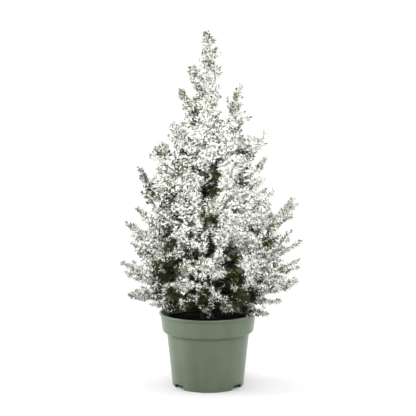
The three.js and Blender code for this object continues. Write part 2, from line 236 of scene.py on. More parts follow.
def tubes(centres, across, over, radii, sides):
    """Closed tubes, all with the same number of rings. centres, across and over are (tube, ring, 3), radii
    (tube, ring) or (tube, ring, side). A ring's corner is centre + radius (cos a across + sin a over); each
    end runs to a corner on the axis."""
    count, rings = centres.shape[:2]
    angle = np.arange(sides) * 2 * math.pi / sides
    if radii.ndim == 2:
        radii = radii[:, :, None]
    spoke = np.cos(angle)[:, None] * across[:, :, None] + np.sin(angle)[:, None] * over[:, :, None]
    wall = centres[:, :, None] + radii[..., None] * spoke
    corners = np.concatenate([wall.reshape(count, -1, 3), centres[:, :1], centres[:, -1:]], axis=1)
    ring, side = np.meshgrid(np.arange(rings - 1), np.arange(sides), indexing="ij")
    nxt = (side + 1) % sides
    a, b = ring * sides + side, ring * sides + nxt
    quads = np.stack([a, b, b + sides, a + sides], axis=-1).reshape(-1, 4)
    s = np.arange(sides)
    n = (s + 1) % sides
    foot, tip = rings * sides, rings * sides + 1
    last = (rings - 1) * sides
    tris = np.concatenate([quads[:, [0, 1, 2]], quads[:, [0, 2, 3]],
                           np.stack([n, s, np.full(sides, foot)], 1),
                           np.stack([last + s, last + n, np.full(sides, tip)], 1)])
    step = rings * sides + 2
    faces = tris[None] + (np.arange(count) * step)[:, None, None]
    return corners.reshape(-1, 3), faces.reshape(-1, 3)


# ---- materials ----

def linear(colour):
    """An sRGB hex colour as linear RGBA."""
    parts = [int(colour[i:i + 2], 16) / 255 for i in (1, 3, 5)]
    return [*(c / 12.92 if c <= 0.04045 else ((c + 0.055) / 1.055) ** 2.4 for c in parts), 1.0]


def new_material(name, **sockets):
    """A material with one Principled BSDF, whose sockets are set as named."""
    material = bpy.data.materials.new(name)
    material.use_nodes = True
    shader = material.node_tree.nodes["Principled BSDF"]
    for socket, value in sockets.items():
        shader.inputs[socket.replace("_", " ")].default_value = value
    return material, material.node_tree, shader


def add_node(tree, kind, settings=(), values=(), links=()):
    """A node of that kind with its settings and socket values, and links given as (input, the output that
    feeds it)."""
    node = tree.nodes.new(kind)
    for name, value in dict(settings).items():
        setattr(node, name, value)
    for socket, value in dict(values).items():
        node.inputs[socket].default_value = value
    for socket, source in dict(links).items():
        tree.links.new(source, node.inputs[socket])
    return node


def mottle(tree, shader, size, detail, stops, stretch=(1, 1, 1)):
    """Gives the shader its base colour: a colour ramp over noise whose blobs are about size metres across,
    in Object coordinates times stretch."""
    place = add_node(tree, "ShaderNodeTexCoord")
    scaled = add_node(tree, "ShaderNodeMapping", values={"Scale": stretch},
                      links={"Vector": place.outputs["Object"]})
    noise = add_node(tree, "ShaderNodeTexNoise",
                     values={"Scale": 1 / size, "Detail": detail, "Roughness": 0.6},
                     links={"Vector": scaled.outputs["Vector"]})
    ramp = add_node(tree, "ShaderNodeValToRGB", links={"Fac": noise.outputs["Fac"]})
    ramp.color_ramp.elements.remove(ramp.color_ramp.elements[1])
    for i, (position, colour) in enumerate(stops):
        stop = ramp.color_ramp.elements[0] if i == 0 else ramp.color_ramp.elements.new(position)
        stop.position, stop.color = position, linear(colour)
    tree.links.new(ramp.outputs["Color"], shader.inputs["Base Color"])


def polypropylene():
    """Moulded polypropylene, sage green: satin, with faint streaks of pigment and a very fine grain in its
    highlights."""
    material, tree, shader = new_material("moulded polypropylene", Roughness=0.3, IOR=1.49)
    pigment = [(0.3, "#4b5542"), (0.5, "#515c49"), (0.72, "#57624f")]
    mottle(tree, shader, 34 * MM, 3, pigment, stretch=(1, 1, 0.35))
    place = add_node(tree, "ShaderNodeTexCoord")
    grain = add_node(tree, "ShaderNodeTexNoise", values={"Scale": 1 / (0.8 * MM), "Detail": 2},
                     links={"Vector": place.outputs["Object"]})
    bump = add_node(tree, "ShaderNodeBump", values={"Strength": 0.12, "Distance": 0.1 * MM},
                    links={"Height": grain.outputs["Fac"]})
    tree.links.new(bump.outputs["Normal"], shader.inputs["Normal"])
    return material


def peat(name, dark, middle, fibre):
    """Moist peat compost: nearly black, with reddish brown crumbs of fibre and bark."""
    material, tree, shader = new_material(name, Roughness=0.95, Specular_IOR_Level=0.2)
    mottle(tree, shader, 3 * MM, 4, [(0.3, dark), (0.55, middle), (0.68, fibre), (0.8, middle)])
    return material


def bark():
    """Young spruce bark: grey brown, thin and scaly, paler on the scales' edges."""
    material, tree, shader = new_material("spruce bark", Roughness=0.9, Specular_IOR_Level=0.2)
    mottle(tree, shader, 2.5 * MM, 5, [(0.3, "#1f1712"), (0.55, "#3d2f25"), (0.75, "#645140")])
    return material


def spray_snow(name, low, high):
    """Cellulose spray snow on needles: a dull, soft white with slightly greyer thin spots."""
    material, tree, shader = new_material(name, Roughness=0.9, IOR=1.35)
    mottle(tree, shader, 4 * MM, 3, [(0.35, low), (0.6, high)])
    return material


def needle_green(name, low, high):
    """Waxy spruce needles: a soft sheen over green that varies from spray to spray."""
    material, tree, shader = new_material(name, Roughness=0.5, Specular_IOR_Level=0.2)
    mottle(tree, shader, 14 * MM, 2, [(0.35, low), (0.65, high)])
    return material


MATERIALS = {
    "pot": polypropylene(),
    "soil": peat("moist peat", "#070504", "#0f0a08", "#22130e"),
    "crumb": peat("bark crumbs", "#180d09", "#251610", "#38211a"),
    "bark": bark(),
    "snow": spray_snow("spray snow", "#ebebe6", "#fafaf7"),
    # Thin snow: partly real thin coating, partly painted shade on the most exposed needles.
    "thin": spray_snow("thin spray snow", "#b0b0a6", "#d4d4cd"),
    # Bare needles inside the crown: green, with a near-black low end as painted shade in the gaps.
    "green": needle_green("shaded needles", "#10140a", "#40481f"),
    "fresh": needle_green("fresh needles", "#4b5424", "#737b42"),
    "bud": needle_green("bud scales", "#6b4a30", "#8d6a48"),
}


# ---- what the frame gives ----

def node_arrays(name):
    """Corners and triangles of a CAD node."""
    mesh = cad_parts[name].data
    corners = np.empty(len(mesh.vertices) * 3, dtype=np.float32)
    mesh.vertices.foreach_get("co", corners)
    mesh.calc_loop_triangles()
    triangles = np.empty(len(mesh.loop_triangles) * 3, dtype=np.int32)
    mesh.loop_triangles.foreach_get("vertices", triangles)
    return corners.reshape(-1, 3).astype(float), triangles.reshape(-1, 3)


def stations(corners, spacing):
    """The middle and radius of a limb that runs along Z, at each level where it has a ring of corners."""
    level = np.round(corners[:, 2] / spacing).astype(int)
    rows = []
    for z in np.unique(level):
        ring = corners[level == z]
        middle = ring.mean(axis=0)
        rows.append([*middle, np.linalg.norm(ring[:, :2] - middle[:2], axis=1).max()])
    return np.array(rows)


POT_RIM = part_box("pot")[1][0]
POT_MOUTH = POT_RIM + 6 * MM
SOIL_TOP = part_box("soil")[1][2]
trunk_corners, _ = node_arrays("trunk")
trunk_rows = stations(trunk_corners, 2 * MM)


def trunk_at(z):
    """The middle of the trunk at each height z, and its radius there."""
    x, y, r = (np.interp(z, trunk_rows[:, 2], trunk_rows[:, k]) for k in (0, 1, 3))
    return np.stack([x, y, np.broadcast_to(z, x.shape)], axis=-1), r


class Mass:
    """One mass of foliage: its surface, and the curve of the stem that carries it."""

    def __init__(self, name):
        self.name = name
        corners, triangles = node_arrays(name)
        self.surface = BVHTree.FromPolygons(corners.tolist(), triangles.tolist())
        if name.endswith("leader"):  # it sheathes the top of the trunk
            low, high = corners[:, 2].min(), corners[:, 2].max()
            foot, belly, tip = trunk_at(np.array([low, (low + high) / 2, high]))[0]
        else:
            middle, _ = trunk_at(corners[:, 2])
            out = np.linalg.norm(corners - middle, axis=1)
            foot = corners[out < out.min() + 5 * MM].mean(axis=0)
            tip = corners[np.linalg.norm(corners - foot, axis=1).argmax()]
            along = (corners - foot) @ (tip - foot) / np.dot(tip - foot, tip - foot)
            belly = corners[(along > 0.3) & (along < 0.7)].mean(axis=0)
        self.stem = foot, 2 * belly - (foot + tip) / 2, tip

    def reach(self, start, direction):
        """How far a shoot may go: to the mass's outer surface, and on among its neighbours, but short of it
        in the open."""
        own, whole = (far_side(surface, start, direction) for surface in (self.surface, CROWN))
        return max(own, 0) + (MARGIN["inside"] if whole > own + MARGIN["inside"] else MARGIN["open"])


class Finger:
    """A twig's cone of side twigs: they reach farther the farther they stand from its tip."""

    def __init__(self, tip):
        self.tip = tip

    def reach(self, start, direction):
        return min(CONE["tip"] + CONE["slope"] * np.linalg.norm(self.tip - start), CONE["most"])


class Filling:
    """Twigs that belong to no mass: they may go so far, and stay inside the crown."""

    def __init__(self, most):
        self.most = most

    def reach(self, start, direction):
        return min(self.most, far_side(CROWN, start, direction) + MARGIN["open"])


def far_side(surface, start, direction):
    """How far it is from start to the outermost point of the surface in that direction, looking back from
    well outside."""
    far = start + direction * GROWTH["farthest"]
    hit = surface.ray_cast(Vector(far), Vector(-direction), GROWTH["farthest"])
    return GROWTH["farthest"] - hit[3] if hit[0] else 0.0


def joined(names):
    """The surface of several nodes together."""
    parts = [node_arrays(name) for name in names]
    starts = np.cumsum([0] + [len(corners) for corners, _ in parts])
    triangles = np.concatenate([t + start for (_, t), start in zip(parts, starts)])
    return BVHTree.FromPolygons(np.concatenate([c for c, _ in parts]).tolist(), triangles.tolist())


MASSES = [Mass(name) for name in sorted(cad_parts) if name.startswith("foliage_")]
CROWN = joined([mass.name for mass in MASSES])

# ---- pot ----

POT = {  # millimetres
    "disc": 28, "underside": 8.4, "floor": 10.4, "foot_inner": 62, "foot": 69, "wall": 2,
    "step_height": 105.5, "step": 80.3, "band_foot_height": 109.8, "band_foot": 88.8, "band_top": 92.6,
    "rim": 95, "rim_depth": 4.2, "height": 143,
    "notch_bearings": (36, 144, 216, 324), "notch_width": 27, "notch_height": 8, "drain": 4.5, "drain_at": 51,
}


def rounded(corners, steps=6):
    """A polyline with its corners rounded. Each corner is (radius, height, rounding): a quadratic curve
    runs from the point that lies the rounding before the corner to the point that lies as far after it,
    with the corner as its pull."""
    points = np.array([c[:2] for c in corners], dtype=float)
    out = [points[:1]]
    for k in range(1, len(points) - 1):
        before, here, after = points[k - 1], points[k], points[k + 1]
        back, ahead = np.linalg.norm(here - before), np.linalg.norm(after - here)
        size = min(corners[k][2], back * 0.45, ahead * 0.45)
        if size < 0.05:
            out.append(here[None])
            continue
        start, end = here + (before - here) * size / back, here + (after - here) * size / ahead
        out.append(bezier(start, here, end, np.linspace(0, 1, steps)))
    out.append(points[-1:])
    return np.concatenate(out)


def divided(profile, longest):
    """The same polyline with every stretch cut into equal parts no longer than that."""
    rows = []
    for start, end in zip(profile, profile[1:]):
        parts = max(1, math.ceil(np.linalg.norm(end - start) / longest))
        rows.append(start + (end - start) * (np.arange(parts) / parts)[:, None])
    return np.concatenate([*rows, profile[-1:]])


def turned(profile, segments):
    """A closed surface of revolution: corner (i, k) is at (r_i cos a_k, r_i sin a_k, z_i). The profile
    starts and ends on the axis, where its first and last points are single corners, and runs outwards from
    below, so faces point out."""
    angle = np.arange(segments) * 2 * math.pi / segments
    ring = profile[1:-1]
    wall = np.stack([ring[:, :1] * np.cos(angle), ring[:, :1] * np.sin(angle),
                     np.repeat(ring[:, 1:], segments, 1)], -1)
    corners = np.concatenate([wall.reshape(-1, 3), [[0, 0, profile[0, 1]], [0, 0, profile[-1, 1]]]])
    i, k = np.meshgrid(np.arange(len(ring) - 1), np.arange(segments), indexing="ij")
    n = (k + 1) % segments
    a, b = i * segments + k, i * segments + n
    quads = np.stack([a, b, b + segments, a + segments], axis=-1).reshape(-1, 4)
    k = np.arange(segments)
    n = (k + 1) % segments
    low, high = len(corners) - 2, len(corners) - 1
    last = (len(ring) - 1) * segments
    faces = np.concatenate([quads[:, [0, 1, 2]], quads[:, [0, 2, 3]],
                            np.stack([n, k, np.full(segments, low)], 1),
                            np.stack([last + k, last + n, np.full(segments, high)], 1)])
    return corners, faces


def pot_profile():
    """The section of the pot from the middle of its underside out, up the wall and band, over the rim and
    back inside."""
    p = POT
    rim_foot = p["height"] - p["rim_depth"]
    inner = lambda z: np.interp(z, [0, p["step_height"], p["band_foot_height"], p["height"]],
                                [p["foot"], p["step"], p["band_foot"], p["band_top"]]) - p["wall"]
    outside = [
        (0, 0, 0), (p["disc"], 0, 1), (p["disc"] + 4, p["underside"], 2),
        (p["foot_inner"] - 3, p["underside"], 2), (p["foot_inner"], 0, 0.6), (p["foot"], 0, 1.6),
        (p["step"], p["step_height"], 0.8), (p["band_foot"] - 0.6, p["step_height"] + 0.8, 2.2),
        (p["band_foot"] + 0.2, p["band_foot_height"] + 1, 1.6),
        (p["band_top"], rim_foot, 0.4), (p["rim"], rim_foot + 0.2, 0.6), (p["rim"], p["height"], 1.5),
    ]
    inside = [
        (inner(p["height"]), p["height"], 0.8), (inner(p["band_foot_height"]), p["band_foot_height"], 2),
        (inner(p["step_height"]), p["step_height"] + 1.6, 2), (inner(p["floor"]) - 1, p["floor"], 4),
        (0, p["floor"], 0),
    ]
    return divided(rounded(outside + inside), 5.0)


def plain_pot():
    """The pot as a turned shell whose foot ring is lifted in four notches: inside a notch's width a
    corner's height is the notch's, or its own where that is higher, with a short ramp at both sides."""
    p = POT
    corners, faces = turned(pot_profile(), 288)
    radius = np.hypot(corners[:, 0], corners[:, 1])
    lift = np.zeros(len(corners))
    for bearing in p["notch_bearings"]:
        cos, sin = math.cos(math.radians(bearing)), math.sin(math.radians(bearing))
        side = np.array([-sin, cos])
        ahead = corners[:, 0] * cos + corners[:, 1] * sin
        across = np.abs(corners[:, :2] @ side)
        lift = np.maximum(lift, np.clip((p["notch_width"] / 2 - across) / 1.2, 0, 1) * (ahead > 0))
    ring = (radius > p["foot_inner"] - 2) & (corners[:, 2] < p["notch_height"])
    corners[:, 2] += np.where(ring, lift * (p["notch_height"] - corners[:, 2]), 0)
    return add_mesh("pot_shell", corners * MM, faces, [MATERIALS["pot"]], smooth=True)


def bored(piece, holes, radius, low, high):
    """The piece with round holes through it, at (x, y) in metres, cut between two heights."""
    rod = np.array([[0, low], [radius, low], [radius, high], [0, high]])
    corners, faces = turned(rod, 32)
    many = np.concatenate([corners + [*hole, 0] for hole in holes])
    sets = np.concatenate([faces + k * len(corners) for k in range(len(holes))])
    cutter = add_mesh("cutter", many, sets, [])
    cut = piece.modifiers.new("bore", "BOOLEAN")
    cut.operation, cut.solver, cut.object = "DIFFERENCE", "MANIFOLD", cutter
    graph = bpy.context.evaluated_depsgraph_get()
    mesh = bpy.data.meshes.new_from_object(piece.evaluated_get(graph))
    piece.modifiers.remove(cut)
    piece.data = mesh
    bpy.data.objects.remove(cutter)
    return piece


def pot():
    """The nursery pot: the shell, with a drain hole bored through its floor in line with each notch."""
    bearings = np.radians(POT["notch_bearings"])
    holes = np.stack([np.cos(bearings), np.sin(bearings)], 1) * POT["drain_at"] * MM
    shell = bored(plain_pot(), holes, POT["drain"] * MM, 2 * MM, 12 * MM)
    return keep(shell, "pot", "pot")


pot()

# ---- soil ----

SOIL = {"edge": 126.5, "middle": 128.6, "bottom": 112, "clearance": 0.3}  # millimetres


def soil_height(x, y):
    """Height of the soil in millimetres: it falls off towards the wall, with lumps of 14, 5 and 2 mm on
    it."""
    spots = np.stack([x, y, 0 * x], -1).reshape(-1, 3)
    lumps = [(14, 1.0), (5.2, 1.0), (2.1, 0.6)]
    bump = sum(value_noise(spots, size, 40 + k) * high for k, (size, high) in enumerate(lumps))
    share = np.clip(np.hypot(x, y) / 88, 0, 1)
    return SOIL["middle"] + (SOIL["edge"] - SOIL["middle"]) * share**2 + bump.reshape(x.shape) - 0.6


def wall_inside(z):
    """Radius of the pot's inner wall at that height, in millimetres."""
    low, high = POT["band_foot_height"], POT["height"]
    return POT["band_foot"] + (POT["band_top"] - POT["band_foot"]) * (z - low) / (high - low) - POT["wall"]


def soil():
    """Moist compost: a closed body from the foot of the band up, with its top turned and lumpy."""
    edge = wall_inside(SOIL["edge"]) - SOIL["clearance"]
    rings = np.linspace(0, 1, 74)[::-1] * edge
    low = np.array([[0, SOIL["bottom"]], [wall_inside(SOIL["bottom"]) - SOIL["clearance"], SOIL["bottom"]]])
    corners, faces = turned(np.concatenate([low, np.stack([rings, rings * 0 + SOIL["edge"]], 1)]), 300)
    top = corners[:, 2] > SOIL["edge"] - 1
    corners[top, 2] = soil_height(corners[top, 0], corners[top, 1])
    keep(add_mesh("soil_bed", corners * MM, faces, [MATERIALS["soil"]]), "soil", "soil")


def crumbs(name, count, least, most, material):
    """Crumbs on the soil: octahedra, each stretched, dented and turned at random, half sunk."""
    base = np.array([[1, 0, 0], [0, 1, 0], [-1, 0, 0], [0, -1, 0], [0, 0, 1], [0, 0, -1]], dtype=float)
    sides = np.array([[0, 1, 4], [1, 2, 4], [2, 3, 4], [3, 0, 4], [1, 0, 5], [2, 1, 5], [3, 2, 5], [0, 3, 5]])
    reach = (wall_inside(SOIL["edge"]) - 3) * np.sqrt(rng.uniform(0.01, 1, count))
    angle = rng.uniform(0, 2 * math.pi, count)
    x, y = reach * np.cos(angle), reach * np.sin(angle)
    size = rng.uniform(least, most, (count, 1, 3)) * rng.uniform(0.7, 1.3, (count, 6, 1)) / 2
    frames = np.linalg.qr(rng.normal(0, 1, (count, 3, 3)))[0]
    frames *= np.sign(np.linalg.det(frames))[:, None, None]
    corners = np.einsum("nij,nkj->nki", frames, base[None] * size)
    corners += np.stack([x, y, soil_height(x, y) + least / 4], -1)[:, None]
    faces = sides[None] + (np.arange(count) * 6)[:, None, None]
    keep(add_mesh(name, corners.reshape(-1, 3) * MM, faces.reshape(-1, 3), [material]), "soil")


soil()
crumbs("soil_crumbs", 2600, 1.2, 3.4, MATERIALS["soil"])
crumbs("bark_crumbs", 260, 1.6, 4.2, MATERIALS["crumb"])

# ---- growth ----

def side_shoots(p0, p1, p2, length, mass, order, first):
    """The shoots that a shoot puts out: one every GROWTH step, a golden angle round from the last, standing
    off by about 50 degrees at its foot and 36 at its tip, as long as the mass leaves room for. Returns rows
    of foot, elbow, tip, length."""
    leads = isinstance(mass, Mass) and mass.name.endswith("leader") and order == 0
    last = GROWTH["leader_last"] if leads else GROWTH["last"][order]
    count = int(length * (last - first) / (GROWTH["leader_step"] if leads else GROWTH["step"][order]))
    if count < 1:
        return []
    t = np.linspace(first, last, count) + rng.uniform(-0.3, 0.3, count) / max(count, 2)
    t = np.clip(t, 0.05, 0.97)
    foot = bezier(p0, p1, p2, t)
    heading = bezier_heading(p0, p1, p2, t)
    across, over = square_to(heading)
    turn = rng.uniform(0, 2 * math.pi) + np.arange(count) * GOLDEN_ANGLE
    turn = turn + rng.normal(0, GROWTH["turn_spread"], count)
    lean = rng.normal(GROWTH["lean"], GROWTH["lean_spread"], count) - GROWTH["lean_less"] * t
    lean = np.radians(lean)[:, None]
    radial = np.cos(turn)[:, None] * across + np.sin(turn)[:, None] * over
    direction = unit(np.cos(lean) * heading + np.sin(lean) * radial + GROWTH["lift"] * UP)
    rows = []
    for k in range(count):
        most = GROWTH["most"][order] * length * (1.05 - t[k]) + GROWTH["extra"]
        room = mass.reach(foot[k], direction[k]) + (2 * MM if leads else 0)
        size = min(room * rng.uniform(*GROWTH["share"][order]), most)
        if size < GROWTH["least"]:
            continue
        elbow = foot[k] + direction[k] * size * 0.5
        tip = foot[k] + direction[k] * size + UP * size * rng.uniform(*GROWTH["rise"])
        in_soil = math.hypot(*tip[:2]) <= POT_MOUTH and tip[2] <= SOIL_TOP + ROOM_OVER_SOIL["shoot"]
        if not (in_soil or in_hollow(tip) or within([tip, elbow], SKY).any()):
            rows.append((foot[k], elbow, tip, size))
    return rows


def as_seen(points):
    """Where the camera sees each point on the upright plane y = 0: from the eye, (x, z) times y_eye /
    (y_eye - y)."""
    scale = EYE[1] / (EYE[1] - points[:, 1])
    return points[:, 0] * scale, EYE[2] + (points[:, 2] - EYE[2]) * scale


def depth_within(points, places):
    """How deep inside the nearest oval the camera sees each point: 1 at its middle, 0 on its edge, less
    outside. Noise of 20 mm moves the points by up to 5 mm, and noise of 6 mm by up to 4 mm."""
    points = np.atleast_2d(points)
    points = points + sum(far * MM * np.stack([value_noise(points, size * MM, seed) for seed in seeds], 1)
                          for size, far, seeds in ((20, 5, (11, 12, 13)), (6, 4, (14, 15, 16))))
    x, z = as_seen(points)
    return np.max([1 - np.hypot((x / MM - mid_x) / half_x, (z / MM - mid_z) / half_z)
                   for mid_x, mid_z, half_x, half_z in places], axis=0)


def within(points, places):
    """Whether the camera sees each point inside one of the ovals."""
    return depth_within(points, places) > 0


def in_hollow(tip):
    """Whether a shoot's tip lies in front of a hollow's floor, which is farther forward near the trunk."""
    return tip[1] < -30 * MM + 0.28 * abs(tip[0]) and within(tip, HOLLOWS)[0]


def core_twigs():
    """Short twigs round the trunk, a golden angle apart."""
    rows = []
    heights = np.arange(*CORE["span"])
    middle, _ = trunk_at(heights)
    for k, foot in enumerate(middle):
        a, lift = k * GOLDEN_ANGLE, math.radians(rng.uniform(*CORE["lift"]))
        way = np.array([math.cos(a) * math.cos(lift), math.sin(a) * math.cos(lift), math.sin(lift)])
        size = CORE["length"] * rng.uniform(*CORE["lengths"]) * np.interp(foot[2], *CORE["by_height"])
        rows.append((foot, foot + way * size / 2, foot + way * size, size))
    return rows


def covered_by_crown(foot, elbow, tip, radius, heights):
    """Whether a twig runs inside the crown for its first three quarters."""
    places = bezier(foot, elbow, tip, np.array([0.35, 0.55, 0.75]))
    x, y, z = places.T
    turn = np.round(np.degrees(np.arctan2(y, x)) / FILLER["turn"]).astype(int) % len(radius)
    level = np.round((z - heights[0]) / FILLER["span"][2]).astype(int)
    level = np.clip(level, 0, len(heights) - 1)
    return bool((np.hypot(x, y) < radius[turn, level] - 4 * MM).all())


def filling_twigs():
    """Twigs that fill the grooves between the masses. The crown's radius is taken on a grid of bearings and
    heights. Where it lies well inside the greatest radius near by, a twig grows out of the trunk to most of
    that."""
    bearings = np.radians(np.arange(0, 360, FILLER["turn"]))
    heights = np.arange(*FILLER["span"])
    radius = np.zeros((len(bearings), len(heights)))
    for i, a in enumerate(bearings):
        way = Vector((math.cos(a), math.sin(a), 0))
        for j, z in enumerate(heights):
            hit = CROWN.ray_cast(Vector((0, 0, z)) + way * FILLER["outside"], -way, FILLER["outside"])
            radius[i, j] = FILLER["outside"] - hit[3] if hit[0] else 0
    greatest = radius.copy()
    for di in (-1, 0, 1):
        for dj in (-1, 0, 1):
            near = np.roll(radius, di, axis=0)
            near = np.pad(near, ((0, 0), (1, 1)), mode="edge")[:, 1 + dj:1 + dj + len(heights)]
            greatest = np.maximum(greatest, near)
    rows = []
    groove = radius < greatest * FILLER["groove"]
    for i, j in zip(*np.nonzero(groove)):
        if rng.uniform() > FILLER["chance"]:
            continue
        out, z = greatest[i, j] * rng.uniform(*FILLER["out"]), heights[j]
        a = bearings[i] + rng.normal(0, 0.04)
        tip = np.array([out * math.cos(a), out * math.sin(a), z])
        foot = trunk_at(np.array([max(z - out * rng.uniform(*FILLER["drop"]), 0.15)]))[0][0]
        if in_hollow(tip) or within(tip, SKY)[0] or tip[2] < SOIL_TOP + ROOM_OVER_SOIL["filler"]:
            continue
        elbow = foot + (tip - foot) * [0.6, 0.6, 0.35]
        path = bezier(foot, elbow, tip, np.linspace(0.1, 1, 10))
        if not covered_by_crown(foot, elbow, tip, radius, heights) or within(path, SKY).any():
            continue
        rows.append((foot, elbow, tip, np.linalg.norm(elbow - foot) + np.linalg.norm(tip - elbow)))
    return rows


def low_sprigs():
    """The low twigs over the soil: those of the front, and as many at random bearings round the rest."""
    tips = [np.array(tip) * MM for tip in SPRIGS]
    for _ in range(len(SPRIGS)):
        a, out = math.radians(rng.uniform(*SPRIG["bearings"])), rng.uniform(*SPRIG["out"]) * MM
        tips.append(np.array([out * math.cos(a), out * math.sin(a), rng.uniform(*SPRIG["height"]) * MM]))
    rows = []
    for tip in tips:
        foot = trunk_at(tip[2:3] - 8 * MM)[0][0]
        out = unit(tip * [1, 1, 0] + (tip[1] < 0) * np.array([0, -0.05, 0]))
        elbow = tip - out * np.linalg.norm(tip[:2]) * 0.5 + UP * 3 * MM
        rows.append((foot, elbow, tip, np.linalg.norm(elbow - foot) + np.linalg.norm(tip - elbow)))
    return rows


def fingers():
    """The outer fingers and the tufts at the front: each grows up and out from the bough nearest to a place
    well below and inside its tip. A tuft's tip lies on the crown, where the nearest of five sight lines
    meets it."""
    t = np.linspace(0.1, 1, 30)
    limbs = np.concatenate([bezier(*(p[None] for p in mass.stem), t) for mass in MASSES])
    rows = []
    tips = [np.array(tip) * MM for tip in FINGERS]
    for x, z in TUFTS:
        rays = [unit(np.array([x + dx, 0, z + dz]) * MM - EYE) for dx, dz in SIGHTS]
        found = [hit[3] for ray in rays if (hit := CROWN.ray_cast(Vector(EYE), Vector(ray), 3))[0]]
        tips.append(EYE + rays[0] * (min(found) - 1 * MM))
    for tip in tips:
        drop = np.linalg.norm(tip[:2]) * np.interp(tip[2], (0.2, 0.45), (0.1, 0.4))
        foot = limbs[np.linalg.norm(limbs - tip * [0.65, 0.65, 1] + UP * drop, axis=1).argmin()]
        elbow = (foot + tip) / 2 - UP * np.linalg.norm(tip - foot) * 0.06
        rows.append((foot, elbow, tip, np.linalg.norm(tip - foot)))
    return rows


def up_to_sky(p0, p1, p2):
    """The curve, cut short where it would end in open sky: the part up to t has elbow p0 + t (p1 - p0)."""
    for t in np.linspace(1, 0.6, 21):
        tip = bezier(p0, p1, p2, np.array([t]))[0]
        if not within(tip, SKY)[0]:
            break
    return p0, p0 + t * (p1 - p0), tip


def grow():
    """All shoots as rows of foot, elbow, tip, length, order and mass: the stem of each mass and the twigs
    between them, their side shoots, and theirs in turn."""
    starts = []
    for index, mass in enumerate(MASSES):
        foot, elbow, tip = mass.stem
        end = tip - unit(tip - elbow) * 2 * MM
        foot, elbow, end = up_to_sky(foot, elbow, end)
        length = np.linalg.norm(elbow - foot) + np.linalg.norm(end - elbow)
        starts.append((mass, index, (foot, elbow, end, length), 0, 0.08))
    starts += [(Filling(FREE_REACH["core"]), CORE_SHOOT, row, 1, 0.25) for row in core_twigs()]
    starts += [(Filling(FREE_REACH["filler"]), BETWEEN, row, 0, 0.5) for row in filling_twigs()]
    starts += [(Filling(FREE_REACH["sprig"]), BETWEEN, row, 0, 0.6) for row in low_sprigs()]
    starts += [(Finger(row[2]), FINGER, row, 1, 0.2) for row in fingers()]
    rows = []
    for mass, index, start, order, first in starts:
        front = [start]
        while front:
            rows += [(*shoot, order, index) for shoot in front]
            if order == 3:
                break
            front = [s for shoot in front for s in side_shoots(*shoot, mass, order, first)]
            first = 0.25
            order += 1
    return rows


shoots = grow()
SP0, SP1, SP2 = (np.array([s[k] for s in shoots]) for k in range(3))
S_LENGTH = np.array([s[3] for s in shoots])
S_ORDER = np.array([s[4] for s in shoots])
S_MASS = np.array([s[5] for s in shoots])

# ---- needles ----

# Needles stand evenly along a shoot, a golden angle apart round it, and the last of them at its tip,
# pointing ahead.
bare = np.where(S_MASS == BETWEEN, NEEDLE["bare"]["inner stem"], NEEDLE["bare"]["stem"])
bare = np.where(S_ORDER == 0, bare, 0.0)
count = (S_LENGTH / MM * np.array(NEEDLE["per_mm"])[S_ORDER] * (1 - bare)).astype(int)
count = np.maximum(count, NEEDLE["fewest"]) + NEEDLE["tuft"]
owner = np.repeat(np.arange(len(shoots)), count)
rank = np.arange(len(owner)) - np.repeat(np.cumsum(count) - count, count)
share = (rank + rng.uniform(0, 1, len(owner))) / (count[owner] - NEEDLE["tuft"])
t = np.minimum(bare[owner] + (1 - bare[owner]) * share, 1.0)
p0, p1, p2 = SP0[owner], SP1[owner], SP2[owner]
foot = bezier(p0, p1, p2, t)
heading = bezier_heading(p0, p1, p2, t)
across, over = square_to(heading)
turn = rank * GOLDEN_ANGLE + rng.uniform(0, 6.28, len(shoots))[owner]
near_tip = np.clip(1 - (1 - t) * S_LENGTH[owner] / NEEDLE["tip"], 0, 1)
splay = np.interp(near_tip, [0, 1], NEEDLE["splay"]) + rng.normal(0, NEEDLE["splay_spread"], len(owner))
splay = np.where(share >= 1, rng.uniform(*NEEDLE["tuft_splay"], len(owner)), splay)
splay = np.radians(splay)[:, None]
radial = np.cos(turn)[:, None] * across + np.sin(turn)[:, None] * over
way = unit(np.cos(splay) * heading + np.sin(splay) * radial)
size = NEEDLE["length"] * rng.uniform(*NEEDLE["lengths"], len(owner)) * (1 - NEEDLE["tip_less"] * near_tip)
clear = foot + way * size[:, None]
above = clear[:, 2] > np.where(np.hypot(clear[:, 0], clear[:, 1]) < POT_RIM + 1 * MM, SOIL_TOP + 1 * MM, 0)

# Spray snow reaches a needle as far as it can be seen from round about and above. The needles are counted
# into cubes, and the share of spray that gets through falls off exponentially with the needles passed. Each
# blocks half its length times its width.
low = foot.min(axis=0) - 3 * VOXEL
shape = np.ceil((foot.max(axis=0) + 3 * VOXEL - low) / VOXEL).astype(int)
middle = foot + way * size[:, None] * 0.6
cell = ((middle - low) / VOXEL).astype(int)
density = np.bincount(np.ravel_multi_index(cell.T, shape), minlength=int(np.prod(shape))).astype(np.float32)
blocking = density * (NEEDLE["length"] * NEEDLE["width"]["green"] * 0.5) / VOXEL**3  # per metre


def spray_ways():
    """The directions that spray comes from, with their weights: four rings round the plant, each at its own
    angle."""
    rows = []
    for lift, share, around in SPRAY["rings"]:
        for k in range(around):
            a, e = 2 * math.pi * (k + lift / 90) / around, math.radians(lift)
            rows.append((math.cos(e) * math.cos(a), math.cos(e) * math.sin(a), math.sin(e), share / around))
    return np.array(rows)


